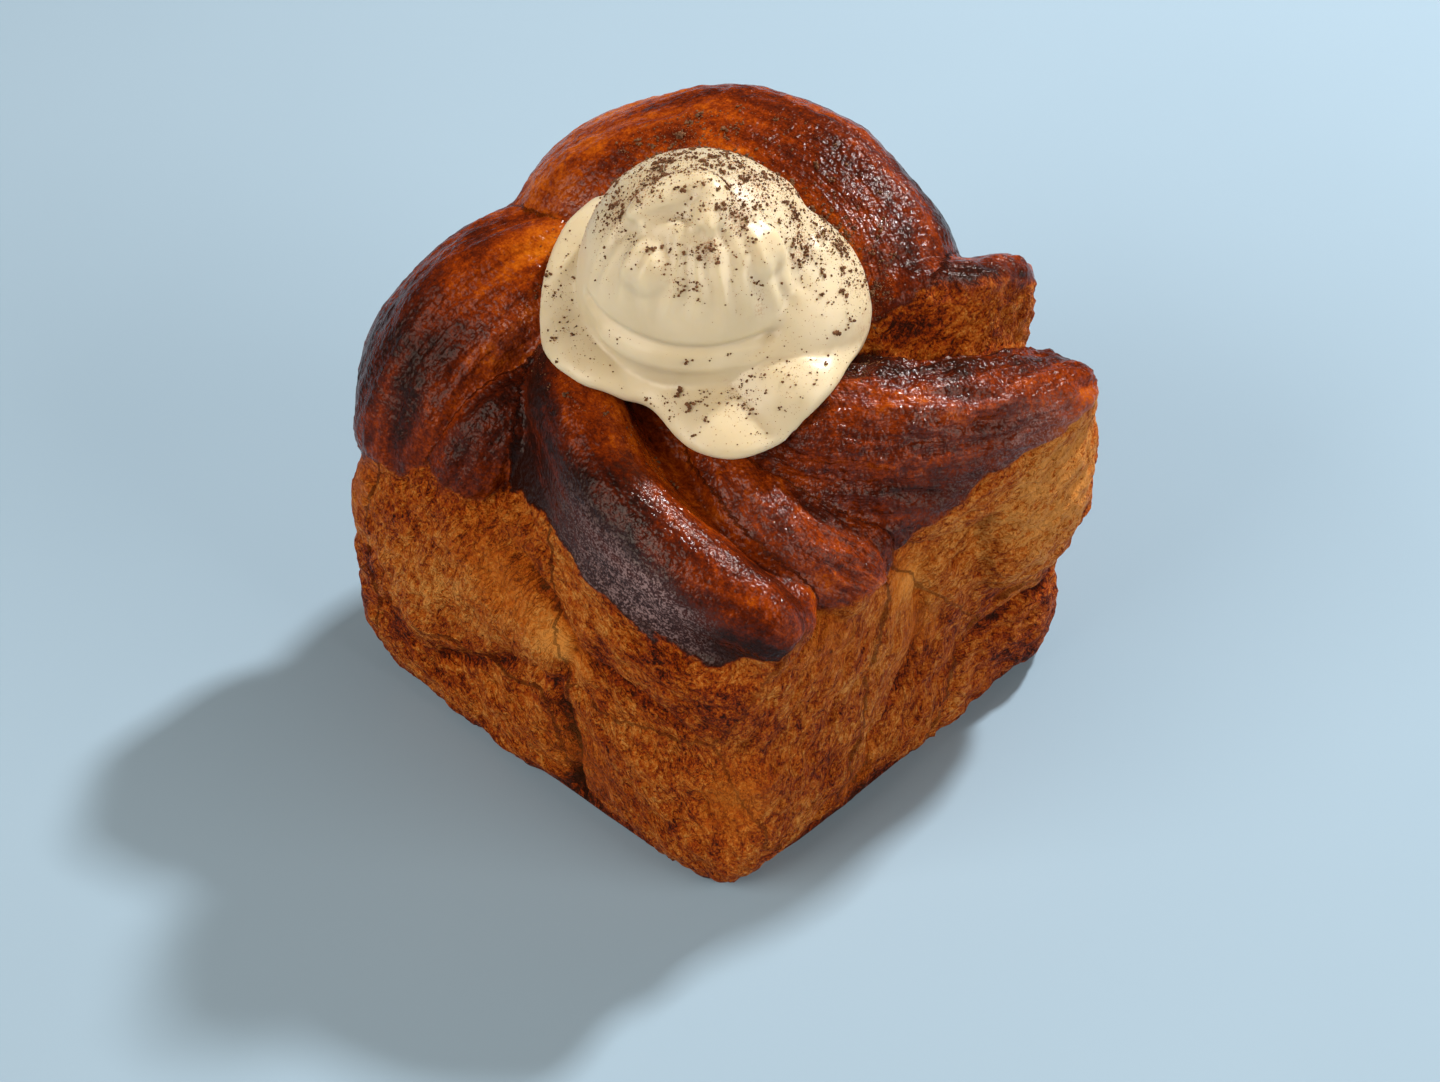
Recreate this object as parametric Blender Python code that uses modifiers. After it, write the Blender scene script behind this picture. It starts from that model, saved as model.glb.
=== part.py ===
"""A single-serve caramel babka: a small square loaf of plaited, browned dough with a dollop of
vanilla cream dusted with cocoa on top. It stands on its flat underside, +Z up, and the view that
shows it best looks at the corner between its -Y and +X sides."""

from collections import namedtuple
from math import cos, pi, radians, sin
from random import Random

import bmesh
import bpy
import numpy as np
from mathutils import Matrix, Vector, noise
from mathutils.bvhtree import BVHTree

MM = 0.001

# Driving dimensions of the loaf, in millimetres
HALF_WIDTH = 45.5  # of the crumb body, along X
HALF_DEPTH = 44.5  # of the crumb body, along Y
CRUST_EDGE = 52.0  # height at which the sides turn into the browned top
HEART = Vector((0, 0, 38))  # the strands of the plait lie round this point
LOAF_VOXEL = 1.3
LOAF_TRIANGLES = 7400

# Driving dimensions of the cream, in millimetres
CORNER_VIEW = 43.4  # degrees from -Y round to +X: the corner that the cream leans and drips to
SWIRL_PLACE = Vector((-1, -3.5, 80.5))
SWIRL_LEAN = 8.0  # degrees
DOME_RADIUS = 19.4
DOME_MIDDLE = 5.5  # height of the dome's widest part over the swirl's own base
DOME_RISE = 22.0
SKIRT_RADIUS = 20.5
SKIRT_RISE = 15.5
ROLL_REACH = 15.8
ROLL_THICKNESS = 4.3
PUDDLE_PLACE = Vector((1, -3, 79.5))
PUDDLE_RADIUS = 26.5
PUDDLE_RIM = 5.0
CREAM_VOXEL = 0.8
CREAM_TRIANGLES = 2500
CREAM_GAP = 0.4

# Strokes on the dollop: points (across, towards the corner, height) from the swirl's own place,
# how far the surface stands out along them, and half the stroke's width
STROKES = (
    (((-12, 8, 20), (-9.2, 9, 24), (-5.2, 8.8, 25.2), (-1.3, 10, 25.2), (0.4, 12.5, 24.4)), -1.3, 1.0),
    (((3.8, 7.8, 27.3), (3.3, 10.9, 25.7), (4.2, 12.4, 22.5)), -0.7, 1.0),
    (((6.2, 11.1, 22.4), (7.6, 13.3, 21.1), (7.0, 14.8, 18.4)), -0.8, 0.9),
    (((-5.2, 11.6, 23), (-5.8, 14.2, 21.5)), -0.7, 0.9),
    (((-6.8, 15.6, 19), (-6.5, 16.4, 15)), -0.6, 0.9),
    (((-9.2, 14.1, 19), (-10.1, 15.2, 11)), -0.35, 1.5),
    (((-5.3, 16, 17), (-5.3, 17.8, 10)), -0.3, 1.5),
    (((-1.3, 16.1, 19.4), (-1.3, 18.4, 11)), -0.35, 1.4),
    (((3.1, 16.6, 19.8), (3.4, 18.2, 11)), -0.3, 1.5),
    (((8.2, 14.6, 18), (9.4, 16, 10)), -0.3, 1.5),
    (((15.5, -2, 22), (19.2, -1, 14), (20.3, 3.6, 8), (18.8, 7.5, 4.5), (15, 11.5, 3.5)), -0.7, 1.0),
)

# Cocoa clumps on the cream
CLUMPS = 84
CLUMP_SIZE = (0.4, 0.8)
CLUMP_SEED = 7

# A strand of dough: stations along it, each a centre (x, y, z), half width and half thickness;
# how far a crest stands up from its section and at which angle; and how many pleats it has.
Strand = namedtuple("Strand", "stations crest crest_angle pleats")

STRANDS = {
    "left_fold": Strand(((-19, 6, 64, 12, 11), (-26, -3, 69, 15, 13.5), (-32, -15, 68, 16.5, 14.5),
                         (-36.5, -26, 58, 17, 14), (-37.5, -30, 47, 17, 12.5)), 0.04, 90, 7),
    "left_tuck": Strand(((-14, -17, 63, 8, 7), (-19, -28, 61, 9, 8), (-22, -36, 53, 8, 7)), 0, 0, 5),
    "arch": Strand(((-33, -6, 66, 12, 12), (-28, 6.5, 75.5, 16.5, 16.5), (-18, 19, 79.5, 18, 17.5),
                    (-2, 23.5, 80, 18, 17.5), (12.5, 21.5, 74, 17, 17), (24, 15, 64, 13, 13)), 0, 0, 6),
    "front_fold": Strand(((-15, -16, 65, 11, 10), (-7, -24, 63.5, 13, 11), (7, -31, 60, 13, 11),
                          (23, -33, 56, 12.5, 10.5), (38, -30.5, 53, 9.5, 7.5)), 0.22, 115, 4),
    "middle_fold": Strand(((8, -9, 60, 8, 8), (18, -14, 61, 9.5, 9), (29, -17, 58, 10.5, 9.5),
                           (39, -12, 53, 9, 7)), 0.13, 75, 5),
    "right_fold": Strand(((10, -8, 61, 14, 11), (24, -3, 64, 16, 13), (34, 11, 63, 15, 12),
                          (40, 25, 62, 12, 10), (42, 33, 61, 9, 9)), 0.14, 105, 11),
    "far_fold": Strand(((12, 8, 66, 10, 10), (20, 17, 72, 11.5, 12), (25, 26, 72.5, 11.5, 12.5),
                        (26.5, 32, 72, 9.5, 11.5)), 0.17, 95, 6),
    "rear_left": Strand(((-14, 20, 66, 12, 12), (-28, 24, 64, 15, 13), (-36, 14, 57, 14, 12),
                         (-38, 0, 52, 12, 10)), 0.05, 90, 7),
    "rear": Strand(((-14, 32, 57, 12, 12), (4, 34, 60, 13, 12), (20, 33, 57, 12, 12),
                    (31, 30, 50, 10, 10)), 0.06, 90, 7),
}

# Rounded masses of dough under the plait: centre, half sizes, squareness in plan and upright
MASSES = {
    "body": ((-0.5, -0.5, 25), (45, 44.5, 28), 6, 8),
    "core": ((0, 0, 50), (36, 34, 23), 2, 2),
    "shoulder": ((34, 30, 44), (16.5, 16, 18), 3, 3),
    "left_corner": ((-31.5, -30.5, 25), (16.8, 16.5, 28), 2.6, 3.2),
    "rear_corner": ((-30, 30, 24), (17, 16, 26), 2.6, 3),
    "right_corner": ((30, 30, 18), (15.5, 14.5, 20), 2.8, 3.6),
    "front_corner": ((23, -30, 16), (22.5, 15.5, 18), 2.8, 3.4),
    "front_cheek": ((2, -33, 34), (26, 12.5, 22), 2.4, 2.6),
    "right_cheek": ((33, -14, 24), (12.5, 25, 26), 2.5, 3),
}

# Creases where the lobes of dough meet on the sides, each as (along the side, height)
CREASES = {
    "lobe": ((-39, 27), (-36, 21), (-31, 16), (-24, 13.5), (-17, 16), (-8, 22), (0, 25), (5, 26)),
    "leaf": ((-14, 54), (-1, 47), (8, 41), (10, 38), (8, 32), (5, 26), (7, 20), (9, 14), (8, 2)),
    "band": ((10, 38), (17, 37), (28, 36), (34, 34), (38, 29), (41, 20)),
    "split": ((3, 44), (3, 36), (2, 28), (-3, 20), (-8, 14), (-11, 6)),
    "ledge": ((12, 17), (24, 20), (34, 20), (41, 21)),
}
# The side that each crease is on, and whether it runs mirrored there
SIDES = {
    "front": (("lobe", False), ("leaf", False), ("band", False)),
    "right": (("split", False), ("ledge", False)),
    "rear": (("lobe", True), ("leaf", True), ("band", True)),
    "left": (("split", True), ("ledge", True)),
}
CREASE_DEPTH = 1.3
CREASE_HALF_WIDTH = 1.4
LOBE_DEPTH = 1.5
LOBE_REACH = 7.0


def curve_through(rows, steps):
    """Points on a smooth curve through the rows, with `steps` between two rows."""
    padded = np.vstack([2 * rows[0] - rows[1], rows, 2 * rows[-1] - rows[-2]])
    points = []
    for i in range(1, len(padded) - 2):
        a, b, c, d = padded[i - 1:i + 3]
        for t in np.arange(steps) / steps:
            bend = (2 * a - 5 * b + 4 * c - d) * t ** 2 + (3 * b - a - 3 * c + d) * t ** 3
            points.append(0.5 * (2 * b + (c - a) * t + bend))
    return np.array(points + [rows[-1]])


def link(name, mesh):
    """A new object of this mesh in the scene's own collection."""
    thing = bpy.data.objects.new(name, mesh)
    bpy.context.scene.collection.objects.link(thing)
    return thing


def strand_section(strand, along, around):
    """The outline of a strand's section: an oval with a crest on one side, and pleats."""
    outline = []
    for k in range(around):
        angle = 2 * pi * k / around
        crest = strand.crest * cos(3 * (angle - radians(strand.crest_angle)))
        pleat = 0.03 * sin(strand.pleats * (angle + 0.5 * sin(3.1 * along)) + 4 * along)
        radius = 1 + crest + pleat * (strand.pleats > 0)
        outline.append((radius * cos(angle), radius * sin(angle)))
    return outline


def loft_strand(name, strand, around=36, steps=12):
    """A closed solid through a strand's stations, its thickness pointing away from the heart."""
    path = curve_through(np.array(strand.stations, float), steps)
    centres = [Vector(row[:3]) for row in path]
    shape = bmesh.new()
    rings = []
    last = len(path) - 1
    end_rings = ((0.55, 0.83), (0.9, 0.45))
    places = [(0, -push, shrink) for push, shrink in reversed(end_rings)]
    places += [(i, 0, 1) for i in range(last + 1)]
    places += [(last, push, shrink) for push, shrink in end_rings]
    for i, push, shrink in places:
        along = (centres[min(i + 1, last)] - centres[max(i - 1, 0)]).normalized()
        outward = centres[i] - HEART
        outward = (outward - along * outward.dot(along)).normalized()
        across = along.cross(outward)
        half_width, half_thickness = path[i][3] * shrink, path[i][4] * shrink
        centre = centres[i] + along * push * path[i][4]
        ring = []
        for u, v in strand_section(strand, i / last, around):
            point = centre + across * u * half_width + outward * v * half_thickness
            ring.append(shape.verts.new(point * MM))
        rings.append(ring)
    for near, far in zip(rings, rings[1:]):
        for k in range(around):
            following = (k + 1) % around
            shape.faces.new((near[k], near[following], far[following], far[k]))
    shape.faces.new(rings[0])
    shape.faces.new(rings[-1])
    bmesh.ops.recalc_face_normals(shape, faces=shape.faces)
    mesh = bpy.data.meshes.new(name)
    shape.to_mesh(mesh)
    shape.free()
    return link(name, mesh)


def rounded_mass(name, centre, half_sizes, plan=2.0, upright=2.0, segments=96):
    """An ellipsoid, or a squarer one where the two powers are over 2."""
    shape = bmesh.new()
    bmesh.ops.create_uvsphere(shape, u_segments=segments, v_segments=segments // 2, radius=1)
    for vertex in shape.verts:
        x, y, z = (abs(value) for value in vertex.co)
        flat = (x ** plan + y ** plan) ** (upright / plan)
        reach = (flat + z ** upright) ** (-1 / upright)
        for axis in range(3):
            vertex.co[axis] = (centre[axis] + vertex.co[axis] * reach * half_sizes[axis]) * MM
    mesh = bpy.data.meshes.new(name)
    shape.to_mesh(mesh)
    shape.free()
    return link(name, mesh)


def evaluated_mesh(thing):
    """The object's mesh with its modifiers applied."""
    graph = bpy.context.evaluated_depsgraph_get()
    return bpy.data.meshes.new_from_object(thing.evaluated_get(graph))


def remove(thing):
    """Takes an object and its mesh out of the file."""
    mesh = thing.data
    bpy.data.objects.remove(thing)
    bpy.data.meshes.remove(mesh)


def fuse(name, pieces, voxel, smooth_steps):
    """One closed skin round all the pieces, softened where they meet."""
    shape = bmesh.new()
    for piece in pieces:
        shape.from_mesh(piece.data)
        remove(piece)
    joined = bpy.data.meshes.new(name)
    shape.to_mesh(joined)
    shape.free()
    thing = link(name, joined)
    skin = thing.modifiers.new("skin", "REMESH")
    skin.mode = "VOXEL"
    skin.voxel_size = voxel * MM
    soften = thing.modifiers.new("soften", "SMOOTH")
    soften.factor = 0.5
    soften.iterations = smooth_steps
    thing.data = evaluated_mesh(thing)
    thing.modifiers.clear()
    bpy.data.meshes.remove(joined)
    return thing


def points_and_normals(mesh):
    """The mesh's points in millimetres and its vertex normals."""
    points = np.empty(len(mesh.vertices) * 3)
    mesh.vertices.foreach_get("co", points)
    normals = np.array([tuple(normal.vector) for normal in mesh.vertex_normals])
    return points.reshape(-1, 3) / MM, normals


def set_points(mesh, points):
    """Moves the mesh's points to these places, in millimetres."""
    mesh.vertices.foreach_set("co", (points * MM).ravel())
    mesh.update()


def crease_paths():
    """Each crease as a curve in space on its side of the body."""
    walls = {"front": -HALF_DEPTH, "rear": HALF_DEPTH, "right": HALF_WIDTH, "left": -HALF_WIDTH}
    paths = []
    for side, creases in SIDES.items():
        for name, mirrored in creases:
            flat = curve_through(np.array(CREASES[name], float), 5)
            along = -flat[:, 0] if mirrored else flat[:, 0]
            wall = np.full(len(flat), walls[side])
            columns = (along, wall) if side in ("front", "rear") else (wall, along)
            paths.append(np.column_stack([*columns, flat[:, 1]]))
    return paths


def distance_to_path(points, path):
    """The distance from each point to the nearest stretch of the path."""
    nearest = np.full(len(points), np.inf)
    for start, end in zip(path, path[1:]):
        run = end - start
        share = np.clip((points - start) @ run / (run @ run), 0, 1)
        gap = np.linalg.norm(points - start - share[:, None] * run, axis=1)
        nearest = np.minimum(nearest, gap)
    return nearest


def lumps(points, wavelength, seed):
    """Smooth random heights between about -1 and 1, the same each run."""
    shift = Vector((seed * 17.3, seed * 5.1, seed * 9.7))
    return np.array([noise.noise(Vector(point) / wavelength + shift) for point in points])


def loaf_relief(points):
    """How far each point of the loaf stands out: lobes, creases and the dough's unevenness."""
    on_side = np.clip((CRUST_EDGE + 3 - points[:, 2]) / 6, 0, 1)
    crease = np.full(len(points), np.inf)
    for path in crease_paths():
        crease = np.minimum(crease, distance_to_path(points, path))
    inward = CREASE_DEPTH * np.exp(-((crease / CREASE_HALF_WIDTH) ** 2))
    inward += LOBE_DEPTH * np.exp(-((crease / LOBE_REACH) ** 2))
    uneven = 1.0 * lumps(points, 16, 1) + 0.7 * lumps(points, 6, 2) * (0.3 + 0.7 * on_side)
    return uneven - inward * on_side


def displace(thing, relief):
    """Moves each point of the object along its normal by the relief."""
    points, normals = points_and_normals(thing.data)
    set_points(thing.data, points + normals * relief(points)[:, None])


def thin_out(thing, triangles):
    """Brings the object down to this many triangles, keeping its form."""
    thin = thing.modifiers.new("thin", "DECIMATE")
    thin.use_collapse_triangulate = True
    thin.ratio = triangles / (2 * len(thing.data.polygons))
    dense = thing.data
    thing.data = evaluated_mesh(thing)
    thing.modifiers.clear()
    bpy.data.meshes.remove(dense)


def stand_flat(thing):
    """Cuts the object off level at the table and closes its underside."""
    shape = bmesh.new()
    shape.from_mesh(thing.data)
    everything = [*shape.verts, *shape.edges, *shape.faces]
    bmesh.ops.bisect_plane(shape, geom=everything, dist=1e-7, plane_no=(0, 0, 1), clear_inner=True)
    bmesh.ops.holes_fill(shape, edges=[edge for edge in shape.edges if edge.is_boundary])
    bmesh.ops.triangulate(shape, faces=shape.faces)
    bmesh.ops.recalc_face_normals(shape, faces=shape.faces)
    shape.to_mesh(thing.data)
    shape.free()


def make_loaf():
    """The loaf: strands of dough over rounded masses, fused and standing flat."""
    pieces = [loft_strand(name, strand) for name, strand in STRANDS.items()]
    pieces += [rounded_mass(name, *mass) for name, mass in MASSES.items()]
    loaf = fuse("loaf", pieces, LOAF_VOXEL, 3)
    displace(loaf, loaf_relief)
    thin_out(loaf, LOAF_TRIANGLES)
    stand_flat(loaf)
    return loaf


def hump(angle, centre, width):
    """A smooth hump of height 1 round this angle, all in degrees."""
    apart = (angle - centre + 180) % 360 - 180
    return np.exp(-((apart / width) ** 2))


def puddle_radius(angle):
    """The reach of the cream's lowest layer: a drip at the front, a notch beside it and a lobe."""
    drip = 3.8 * hump(angle, -40, 20) - 5.2 * hump(angle, -75, 18)
    return PUDDLE_RADIUS + drip + 1.2 * hump(angle, -120, 30)


def facing(across, towards, height):
    """A place on the cream, given across and towards the corner it leans to."""
    turn = radians(CORNER_VIEW)
    return (across * cos(turn) + towards * sin(turn), across * sin(turn) - towards * cos(turn), height)


def resting_height(crust, x, y):
    """The height of the crust round this place, evened out as thick cream would bridge it."""
    lean = SWIRL_LEAN * pi / 180 * (y - x) / 2 ** 0.5
    heights = []
    for k in range(9):
        angle, reach = pi * k / 4, 4.5 * (k > 0)
        start = Vector((x + reach * cos(angle), y + reach * sin(angle), 150)) * MM
        height = crust.ray_cast(start, Vector((0, 0, -1)))[0].z / MM
        heights.append(min(height, PUDDLE_PLACE.z + lean + 3.5))
    highest = sorted(heights)[3:]
    return max(sum(highest) / len(highest), PUDDLE_PLACE.z + lean - 2)


def cream_puddle(loaf):
    """The lowest layer: a thick-rimmed pat with an uneven outline, draped over the crust."""
    crust = BVHTree.FromObject(loaf, bpy.context.evaluated_depsgraph_get())
    puddle = rounded_mass("puddle", (0, 0, 0), (1, 1, 1))
    points, _ = points_and_normals(puddle.data)
    reach = puddle_radius(np.degrees(np.arctan2(points[:, 1], points[:, 0])))
    points[:, :2] = points[:, :2] * reach[:, None] + np.array(PUDDLE_PLACE)[:2]
    rest = np.array([resting_height(crust, x, y) for x, y, _ in points])
    points[:, 2] = points[:, 2] * PUDDLE_RIM + rest + 1.8
    set_points(puddle.data, points)
    return puddle


def cream_strand(name, stations):
    """A rope of cream through these stations, with rounded ends."""
    return loft_strand(name, Strand(stations, 0, 0, 0), around=24)


def roll_stations():
    """The low roll of cream round the front of the dome's foot, thinning to its ends."""
    stations = []
    for k in range(10):
        angle = radians(-60 + 18 * k)
        size = ROLL_THICKNESS * (0.5 + 0.5 * sin(pi * k / 9))
        place = facing(ROLL_REACH * sin(angle), ROLL_REACH * cos(angle), 2.6)
        stations.append((*place, size, size))
    return stations


def on_dome(across, towards, sink):
    """A place this far inside the dome's surface, over a point of its plan."""
    share = (across ** 2 + towards ** 2) / DOME_RADIUS ** 2
    return facing(across, towards, DOME_MIDDLE + DOME_RISE * (1 - share) ** 0.5 - sink)


def cream_swirl():
    """The dome, the masses under its far and right sides, the roll at its foot and its hooked tip."""
    pieces = [cream_strand("roll", roll_stations())]
    skirt = (SKIRT_RADIUS, SKIRT_RADIUS, SKIRT_RISE)
    pieces.append(rounded_mass("skirt", facing(3.5, -1.5, 2.5), skirt))
    pieces.append(rounded_mass("slope", facing(10.5, 0.5, 2.5), (18.7, 16, 14)))
    pieces.append(rounded_mass("dome", (0, 0, DOME_MIDDLE), (DOME_RADIUS, DOME_RADIUS, DOME_RISE)))
    hook = ((-8.5, 4), (-5.8, 2.3), (-0.4, 0.3), (2.3, 2.7), (1.1, 6.7))
    pieces.append(cream_strand("hook", [(*on_dome(*place, 0.6), 3.1, 2.8) for place in hook]))
    for place in ((-6.5, 9), (8, 6.5)):
        pieces.append(rounded_mass("fold", on_dome(*place, 4.2), (5.6, 5.6, 5.2)))
    lean = Vector((0, 0, 1)).rotation_difference(Vector(facing(0, sin(radians(SWIRL_LEAN)), 1)))
    for piece in pieces:
        piece.data.transform(lean.to_matrix().to_4x4())
        piece.data.transform(Matrix.Translation(SWIRL_PLACE * MM))
    return pieces


def cream_relief(points):
    """Faint waves in the cream, and the strokes on its dome."""
    height = 0.3 * lumps(points, 9, 5)
    for row, amount, half_width in STROKES:
        path = np.array([tuple(SWIRL_PLACE + Vector(facing(*place))) for place in row])
        gap = distance_to_path(points, curve_through(path, 6))
        height += amount * np.exp(-((gap / half_width) ** 2))
    return height


def cut_away(thing, tool):
    """Cuts the tool's shape out of the object and removes the tool."""
    cut = thing.modifiers.new("cut", "BOOLEAN")
    cut.operation = "DIFFERENCE"
    cut.solver = "MANIFOLD"
    cut.object = tool
    before = thing.data
    thing.data = evaluated_mesh(thing)
    thing.modifiers.clear()
    bpy.data.meshes.remove(before)
    remove(tool)


def grown_copy(thing, growth):
    """A copy of the object, larger by `growth` millimetres all over."""
    copy = link(thing.name + "_grown", thing.data.copy())
    points, normals = points_and_normals(copy.data)
    set_points(copy.data, points + normals * growth)
    return copy


def clump_places(cream, loaf, count):
    """Random places on the upper faces of the cream, denser where the cocoa fell thickest."""
    rng = Random(CLUMP_SEED)
    graph = bpy.context.evaluated_depsgraph_get()
    tree = BVHTree.FromObject(cream, graph)
    crust = BVHTree.FromObject(loaf, graph)
    places = []
    while len(places) < count:
        angle, reach = radians(rng.uniform(0, 360)), PUDDLE_RADIUS * rng.random() ** 0.5
        start = PUDDLE_PLACE + Vector((reach * cos(angle), reach * sin(angle), 60))
        place, normal, _, _ = tree.ray_cast(start * MM, Vector((0, 0, -1)))
        dusted = 0.25 + 0.75 * (0.5 + 0.5 * cos(angle - radians(60)))
        if place is None or normal.z < 0.45 or rng.random() > dusted:
            continue
        if crust.find_nearest(place)[3] < 2.2 * MM:
            continue
        if all((place - other).length > 1.9 * MM for other, _ in places):
            places.append((place, normal))
    return places


def add_clumps(cream, loaf):
    """Fuses small crumbs of cocoa to the cream."""
    rng = Random(CLUMP_SEED + 1)
    crumbs = bpy.data.collections.new("crumbs")
    bpy.context.scene.collection.children.link(crumbs)
    for k, (place, normal) in enumerate(clump_places(cream, loaf, CLUMPS)):
        size = rng.uniform(*CLUMP_SIZE) * MM
        shape = bmesh.new()
        bmesh.ops.create_icosphere(shape, subdivisions=1, radius=size)
        for vertex in shape.verts:
            vertex.co *= rng.uniform(0.8, 1.2)
        bmesh.ops.scale(shape, vec=(rng.uniform(0.8, 1.4), 1, 0.75), verts=shape.verts)
        mesh = bpy.data.meshes.new("crumb")
        shape.to_mesh(mesh)
        shape.free()
        crumb = bpy.data.objects.new(f"crumb_{k}", mesh)
        crumb.location = place + normal * size * 0.15
        crumb.rotation_euler = normal.to_track_quat("Z", "Y").to_euler()
        crumbs.objects.link(crumb)
    union = cream.modifiers.new("crumbs", "BOOLEAN")
    union.operation = "UNION"
    union.operand_type = "COLLECTION"
    union.collection = crumbs
    union.solver = "MANIFOLD"
    bpy.context.view_layer.update()
    before = cream.data
    cream.data = evaluated_mesh(cream)
    cream.modifiers.clear()
    bpy.data.meshes.remove(before)
    for crumb in list(crumbs.objects):
        remove(crumb)
    bpy.data.collections.remove(crumbs)


def keep_largest_body(thing):
    """Drops the scraps that a cut left loose."""
    shape = bmesh.new()
    shape.from_mesh(thing.data)
    bodies = []
    unseen = set(shape.verts)
    while unseen:
        body, front = set(), [unseen.pop()]
        while front:
            vertex = front.pop()
            body.add(vertex)
            joined = {edge.other_vert(vertex) for edge in vertex.link_edges} & unseen
            unseen -= joined
            front.extend(joined)
        bodies.append(body)
    bodies.sort(key=len)
    scraps = [vertex for body in bodies[:-1] for vertex in body]
    bmesh.ops.delete(shape, geom=scraps, context="VERTS")
    shape.to_mesh(thing.data)
    shape.free()


def make_cream(loaf):
    """The dollop, tilted onto the loaf, cut to the crust under it, with its cocoa clumps."""
    cream = fuse("cream", [cream_puddle(loaf), *cream_swirl()], CREAM_VOXEL, 5)
    displace(cream, cream_relief)
    thin_out(cream, CREAM_TRIANGLES)
    cut_away(cream, grown_copy(loaf, CREAM_GAP))
    keep_largest_body(cream)
    add_clumps(cream, loaf)
    return cream


def centre_on_base(things):
    """Moves everything so that the origin is under the middle of the whole."""
    points = np.vstack([points_and_normals(thing.data)[0] for thing in things])
    middle = (points.min(axis=0) + points.max(axis=0)) / 2
    middle[2] = points[:, 2].min()
    for thing in things:
        own, _ = points_and_normals(thing.data)
        set_points(thing.data, own - middle)
    return middle


def paint(thing, name, colour, roughness):
    """Gives the object a Principled material."""
    material = bpy.data.materials.new(name)
    material.use_nodes = True
    shader = material.node_tree.nodes["Principled BSDF"]
    shader.inputs["Base Color"].default_value = (*colour, 1)
    shader.inputs["Roughness"].default_value = roughness
    shader.inputs["Metallic"].default_value = 0
    thing.data.materials.clear()
    thing.data.materials.append(material)
    thing.data.shade_smooth()


for old in list(bpy.data.objects):
    bpy.data.objects.remove(old)
loaf = make_loaf()
cream = make_cream(loaf)
base_middle = centre_on_base((loaf, cream))
paint(loaf, "browned_dough", (0.36, 0.13, 0.035), 0.4)
paint(cream, "vanilla_cream", (0.86, 0.76, 0.52), 0.3)
babka = bpy.data.collections.new("caramel_babka")
bpy.context.scene.collection.children.link(babka)
for piece in (loaf, cream):
    bpy.context.scene.collection.objects.unlink(piece)
    babka.objects.link(piece)
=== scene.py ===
"""The looks of the caramel babka: a loaf of glossy browned dough with a stringy golden crumb at its
sides, and a dollop of vanilla cream dusted with cocoa. The shapes are made in the plait's own
millimetres, as the solids were, and then moved to the frame, where the loaf stands at the origin."""

from collections import namedtuple
from math import cos, pi, radians, sin
from random import Random

import bmesh
import bpy
import numpy as np
from mathutils import Matrix, Vector, noise
from mathutils.bvhtree import BVHTree


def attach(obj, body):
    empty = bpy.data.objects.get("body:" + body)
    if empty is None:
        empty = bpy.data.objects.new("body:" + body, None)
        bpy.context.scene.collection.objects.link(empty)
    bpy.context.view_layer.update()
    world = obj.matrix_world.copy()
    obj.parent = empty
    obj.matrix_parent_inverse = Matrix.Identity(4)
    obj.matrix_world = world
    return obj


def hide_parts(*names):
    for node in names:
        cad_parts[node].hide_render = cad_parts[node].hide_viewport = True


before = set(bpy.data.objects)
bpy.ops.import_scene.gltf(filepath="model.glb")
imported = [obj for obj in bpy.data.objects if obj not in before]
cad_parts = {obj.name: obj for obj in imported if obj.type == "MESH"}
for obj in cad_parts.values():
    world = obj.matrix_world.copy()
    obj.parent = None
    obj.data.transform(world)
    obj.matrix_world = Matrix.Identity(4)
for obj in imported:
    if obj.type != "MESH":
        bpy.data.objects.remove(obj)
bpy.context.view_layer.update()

MM = 0.001
PLAIT_MIDDLE = Vector((-0.38, 0.07, 0))  # the frame's origin in the plait's own millimetres

# The photograph's camera
VIEW_TARGET = Vector((11.69, -11.76, 40.95))
VIEW_AZIMUTH = 43.4
VIEW_ELEVATION = 44.0
VIEW_DISTANCE = 660.0
VIEW_LENS = 100.0
SENSOR_WIDTH = 36.0

# Loaf
HALF_WIDTH = 45.5
HALF_DEPTH = 44.5
CRUST_EDGE = 52.0
HEART = Vector((0, 0, 38))  # the strands turn their outer sides away from here
LOAF_VOXEL = 0.72
LOAF_SOFTENING = 6
STRAND_STEPS = 12
MASS_SEGMENTS = 128

# Cream
CORNER_VIEW = 43.4
SWIRL_PLACE = Vector((-1, -3.5, 80.5))
SWIRL_LEAN = 8.0
DOME_RADIUS = 19.4
DOME_MIDDLE = 5.5
DOME_RISE = 22.0
SKIRT_RADIUS = 20.5
SKIRT_RISE = 15.5
ROLL_REACH = 15.8
ROLL_THICKNESS = 4.3
PUDDLE_PLACE = Vector((1, -3, 79.5))
PUDDLE_RADIUS = 26.5
PUDDLE_RIM = 5.0
CREAM_VOXEL = 0.45
CREAM_SOFTENING = 9

# A strand of dough: stations along it, each a centre (x, y, z), half width and half thickness;
# how far a crest stands up from its section and at which angle; and how many pleats it has.
Strand = namedtuple("Strand", "stations crest crest_angle pleats")

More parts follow.
